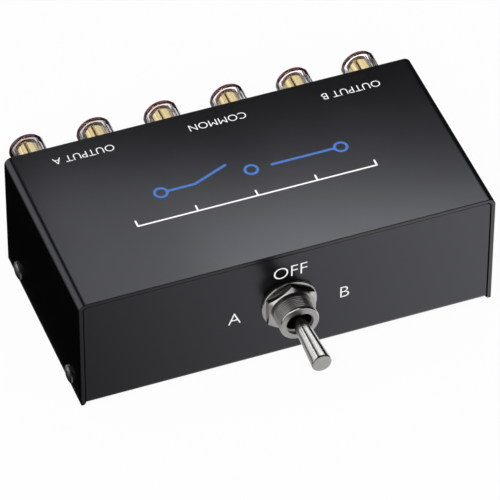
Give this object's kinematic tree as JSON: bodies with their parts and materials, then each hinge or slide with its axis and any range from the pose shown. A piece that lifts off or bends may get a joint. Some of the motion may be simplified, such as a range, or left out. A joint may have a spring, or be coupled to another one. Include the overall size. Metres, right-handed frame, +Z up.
{
  "type": "speaker selector switch",
  "caption": "Low steel box with a centre-off toggle on the front and two rows of clear-capped binding posts on the back, for routing speaker or amplifier leads.",
  "frame": {"origin": "middle of the whole outline from the lever's tip to the caps, on the plane of the four feet", "axes": "+Z up, +X to the right seen from the toggle's side, +Y from the toggle to the binding posts"},
  "size_m": [0.1302, 0.1062, 0.042],
  "materials": {
    "black_steel": "satin black powder coat on folded sheet steel",
    "black_screw": "black oxide",
    "rubber": "matt",
    "chrome": "polished nickel plate",
    "bright_steel": "zinc plated",
    "moulded_black": "moulded thermoset",
    "white_nylon": "natural nylon",
    "silver_contact": "silver plated brass",
    "board_green": "solder resist on glass fibre laminate",
    "gold": "gold plated brass",
    "red_plastic": "gloss",
    "black_plastic": "gloss",
    "clear_plastic": "clear gloss",
    "red_wire": "PVC insulation",
    "black_wire": "PVC insulation"
  },
  "bodies": {
    "case": {"cover": "black_steel", "chassis": "black_steel", "cover_screws": "black_screw", "feet": "rubber", "switch_bushing": "chrome", "lever_pivot_pin": "bright_steel", "front_nut": "chrome", "rear_nut": "chrome", "front_washer": "chrome", "lock_washer": "bright_steel", "switch_frame": "bright_steel", "switch_body": "moulded_black", "terminals_common": "silver_contact", "terminals_a": "silver_contact", "terminals_b": "silver_contact", "terminal_base": "moulded_black", "wiring_board": "board_green", "post_studs": "gold", "collars_red": "red_plastic", "collars_black": "black_plastic", "inner_insulators": "black_plastic", "post_washers": "gold", "post_nuts": "gold", "solder_lugs": "bright_steel", "wires_a_red": "red_wire", "wires_a_black": "black_wire", "wires_speaker_red": "red_wire", "wires_speaker_black": "black_wire", "wires_b_red": "red_wire", "wires_b_black": "black_wire"},
    "lever": {"toggle_lever": "chrome"},
    "carriage": {"contact_carriage": "white_nylon", "contact_plungers": "white_nylon", "plunger_springs": "bright_steel"},
    "rockers": {"contact_rockers": "silver_contact"},
    "insert_a_left_red": {"cap_insert_a_left_red": "gold"},
    "shell_a_left_red": {"cap_shell_a_left_red": "clear_plastic"},
    "insert_a_left_black": {"cap_insert_a_left_black": "gold"},
    "shell_a_left_black": {"cap_shell_a_left_black": "clear_plastic"},
    "insert_a_right_red": {"cap_insert_a_right_red": "gold"},
    "shell_a_right_red": {"cap_shell_a_right_red": "clear_plastic"},
    "insert_a_right_black": {"cap_insert_a_right_black": "gold"},
    "shell_a_right_black": {"cap_shell_a_right_black": "clear_plastic"},
    "insert_speaker_left_red": {"cap_insert_speaker_left_red": "gold"},
    "shell_speaker_left_red": {"cap_shell_speaker_left_red": "clear_plastic"},
    "insert_speaker_left_black": {"cap_insert_speaker_left_black": "gold"},
    "shell_speaker_left_black": {"cap_shell_speaker_left_black": "clear_plastic"},
    "insert_speaker_right_red": {"cap_insert_speaker_right_red": "gold"},
    "shell_speaker_right_red": {"cap_shell_speaker_right_red": "clear_plastic"},
    "insert_speaker_right_black": {"cap_insert_speaker_right_black": "gold"},
    "shell_speaker_right_black": {"cap_shell_speaker_right_black": "clear_plastic"},
    "insert_b_left_red": {"cap_insert_b_left_red": "gold"},
    "shell_b_left_red": {"cap_shell_b_left_red": "clear_plastic"},
    "insert_b_left_black": {"cap_insert_b_left_black": "gold"},
    "shell_b_left_black": {"cap_shell_b_left_black": "clear_plastic"},
    "insert_b_right_red": {"cap_insert_b_right_red": "gold"},
    "shell_b_right_red": {"cap_shell_b_right_red": "clear_plastic"},
    "insert_b_right_black": {"cap_insert_b_right_black": "gold"},
    "shell_b_right_black": {"cap_shell_b_right_black": "clear_plastic"}
  },
  "joints": [
    {"name": "carriage_slide", "type": "slide", "parent": "case", "child": "carriage", "axis": [1, 0, 0], "range_m": [-0.00205, 0.00205]},
    {"name": "lever_tilt", "type": "hinge", "parent": "case", "child": "lever", "pos_m": [0, -0.0273, 0.0214], "axis": [0, 0, 1], "range_deg": [-12, 12]},
    {"name": "rocker_tilt", "type": "hinge", "parent": "case", "child": "rockers", "pos_m": [0, -0.00785, 0.0214], "axis": [0, 0, 1], "range_deg": [-7.5, 7.5]},
    {"name": "lift_a_left_red", "type": "slide", "parent": "case", "child": "insert_a_left_red", "axis": [0, 1, 0], "range_m": [0, 0.0045]},
    {"name": "turn_a_left_red", "type": "hinge", "parent": "insert_a_left_red", "child": "shell_a_left_red", "pos_m": [-0.05275, 0.0481, 0.031], "axis": [0, 1, 0], "range_deg": [0, 2160.1]},
    {"name": "lift_a_left_black", "type": "slide", "parent": "case", "child": "insert_a_left_black", "axis": [0, 1, 0], "range_m": [0, 0.0045]},
    {"name": "turn_a_left_black", "type": "hinge", "parent": "insert_a_left_black", "child": "shell_a_left_black", "pos_m": [-0.05275, 0.0481, 0.013], "axis": [0, 1, 0], "range_deg": [0, 2160.1]},
    {"name": "lift_a_right_red", "type": "slide", "parent": "case", "child": "insert_a_right_red", "axis": [0, 1, 0], "range_m": [0, 0.0045]},
    {"name": "turn_a_right_red", "type": "hinge", "parent": "insert_a_right_red", "child": "shell_a_right_red", "pos_m": [-0.03165, 0.0481, 0.031], "axis": [0, 1, 0], "range_deg": [0, 2160.1]},
    {"name": "lift_a_right_black", "type": "slide", "parent": "case", "child": "insert_a_right_black", "axis": [0, 1, 0], "range_m": [0, 0.0045]},
    {"name": "turn_a_right_black", "type": "hinge", "parent": "insert_a_right_black", "child": "shell_a_right_black", "pos_m": [-0.03165, 0.0481, 0.013], "axis": [0, 1, 0], "range_deg": [0, 2160.1]},
    {"name": "lift_speaker_left_red", "type": "slide", "parent": "case", "child": "insert_speaker_left_red", "axis": [0, 1, 0], "range_m": [0, 0.0045]},
    {"name": "turn_speaker_left_red", "type": "hinge", "parent": "insert_speaker_left_red", "child": "shell_speaker_left_red", "pos_m": [-0.01055, 0.0481, 0.031], "axis": [0, 1, 0], "range_deg": [0, 2160.1]},
    {"name": "lift_speaker_left_black", "type": "slide", "parent": "case", "child": "insert_speaker_left_black", "axis": [0, 1, 0], "range_m": [0, 0.0045]},
    {"name": "turn_speaker_left_black", "type": "hinge", "parent": "insert_speaker_left_black", "child": "shell_speaker_left_black", "pos_m": [-0.01055, 0.0481, 0.013], "axis": [0, 1, 0], "range_deg": [0, 2160.1]},
    {"name": "lift_speaker_right_red", "type": "slide", "parent": "case", "child": "insert_speaker_right_red", "axis": [0, 1, 0], "range_m": [0, 0.0045]},
    {"name": "turn_speaker_right_red", "type": "hinge", "parent": "insert_speaker_right_red", "child": "shell_speaker_right_red", "pos_m": [0.01055, 0.0481, 0.031], "axis": [0, 1, 0], "range_deg": [0, 2160.1]},
    {"name": "lift_speaker_right_black", "type": "slide", "parent": "case", "child": "insert_speaker_right_black", "axis": [0, 1, 0], "range_m": [0, 0.0045]},
    {"name": "turn_speaker_right_black", "type": "hinge", "parent": "insert_speaker_right_black", "child": "shell_speaker_right_black", "pos_m": [0.01055, 0.0481, 0.013], "axis": [0, 1, 0], "range_deg": [0, 2160.1]},
    {"name": "lift_b_left_red", "type": "slide", "parent": "case", "child": "insert_b_left_red", "axis": [0, 1, 0], "range_m": [0, 0.0045]},
    {"name": "turn_b_left_red", "type": "hinge", "parent": "insert_b_left_red", "child": "shell_b_left_red", "pos_m": [0.03165, 0.0481, 0.031], "axis": [0, 1, 0], "range_deg": [0, 2160.1]},
    {"name": "lift_b_left_black", "type": "slide", "parent": "case", "child": "insert_b_left_black", "axis": [0, 1, 0], "range_m": [0, 0.0045]},
    {"name": "turn_b_left_black", "type": "hinge", "parent": "insert_b_left_black", "child": "shell_b_left_black", "pos_m": [0.03165, 0.0481, 0.013], "axis": [0, 1, 0], "range_deg": [0, 2160.1]},
    {"name": "lift_b_right_red", "type": "slide", "parent": "case", "child": "insert_b_right_red", "axis": [0, 1, 0], "range_m": [0, 0.0045]},
    {"name": "turn_b_right_red", "type": "hinge", "parent": "insert_b_right_red", "child": "shell_b_right_red", "pos_m": [0.05275, 0.0481, 0.031], "axis": [0, 1, 0], "range_deg": [0, 2160.1]},
    {"name": "lift_b_right_black", "type": "slide", "parent": "case", "child": "insert_b_right_black", "axis": [0, 1, 0], "range_m": [0, 0.0045]},
    {"name": "turn_b_right_black", "type": "hinge", "parent": "insert_b_right_black", "child": "shell_b_right_black", "pos_m": [0.05275, 0.0481, 0.013], "axis": [0, 1, 0], "range_deg": [0, 2160.1]}
  ],
  "couplings": [
    {"joint": "lever_tilt", "follows": "carriage_slide", "rad_per_m": -102.04},
    {"joint": "rocker_tilt", "follows": "carriage_slide", "rad_per_m": 63.776},
    {"joint": "turn_a_left_red", "follows": "lift_a_left_red", "rad_per_m": 8377.6},
    {"joint": "turn_a_left_black", "follows": "lift_a_left_black", "rad_per_m": 8377.6},
    {"joint": "turn_a_right_red", "follows": "lift_a_right_red", "rad_per_m": 8377.6},
    {"joint": "turn_a_right_black", "follows": "lift_a_right_black", "rad_per_m": 8377.6},
    {"joint": "turn_speaker_left_red", "follows": "lift_speaker_left_red", "rad_per_m": 8377.6},
    {"joint": "turn_speaker_left_black", "follows": "lift_speaker_left_black", "rad_per_m": 8377.6},
    {"joint": "turn_speaker_right_red", "follows": "lift_speaker_right_red", "rad_per_m": 8377.6},
    {"joint": "turn_speaker_right_black", "follows": "lift_speaker_right_black", "rad_per_m": 8377.6},
    {"joint": "turn_b_left_red", "follows": "lift_b_left_red", "rad_per_m": 8377.6},
    {"joint": "turn_b_left_black", "follows": "lift_b_left_black", "rad_per_m": 8377.6},
    {"joint": "turn_b_right_red", "follows": "lift_b_right_red", "rad_per_m": 8377.6},
    {"joint": "turn_b_right_black", "follows": "lift_b_right_black", "rad_per_m": 8377.6}
  ]
}
